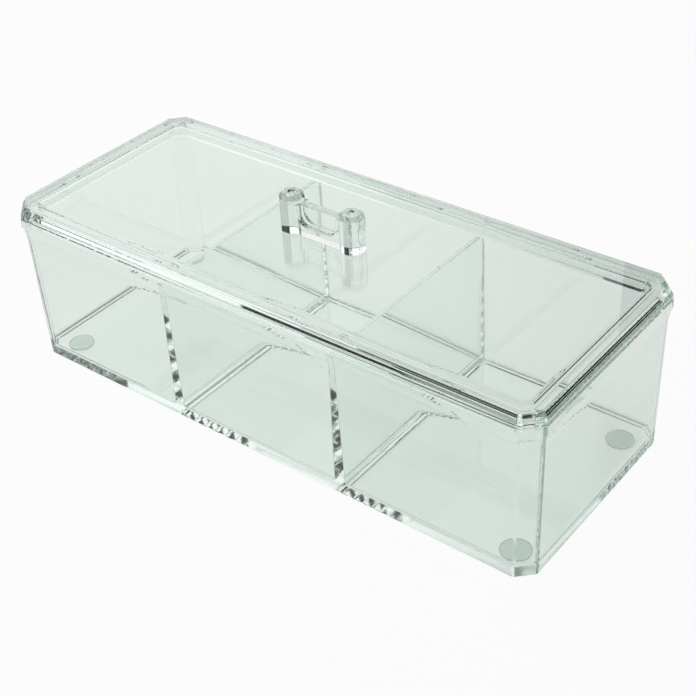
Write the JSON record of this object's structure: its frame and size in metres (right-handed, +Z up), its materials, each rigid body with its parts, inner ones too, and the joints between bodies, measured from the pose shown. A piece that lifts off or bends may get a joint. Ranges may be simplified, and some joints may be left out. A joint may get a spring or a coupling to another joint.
{
  "type": "cotton pad box",
  "caption": "Clear moulded box for cotton pads, with side-by-side bays, small pads underneath and a lift-off lid pinched by a cut-crystal knob.",
  "frame": {"origin": "centre of the resting face, on the plane of the four pads", "axes": "+X along the long side, to the right from the front; +Y to the back; +Z up, the way the lid lifts"},
  "size_m": [0.24, 0.0966, 0.0862],
  "materials": {
    "clear_tray": "polished clear moulding, faint green in its thickness",
    "clear_lid": "polished clear moulding, faint green in its thickness",
    "crystal_knob": "clear moulding with sharp polished facets",
    "clear_pad": "soft clear polyurethane, slightly dull"
  },
  "bodies": {
    "tray": {"tray": "clear_tray", "left_divider": "clear_tray", "right_divider": "clear_tray", "pad_front_left": "clear_pad", "pad_front_right": "clear_pad", "pad_back_left": "clear_pad", "pad_back_right": "clear_pad"},
    "lid": {"lid": "clear_lid", "knob": "crystal_knob"}
  },
  "joints": [
    {"name": "lid_lift", "type": "slide", "parent": "tray", "child": "lid", "axis": [0, 0, 1], "range_m": [0, 0.09]}
  ]
}
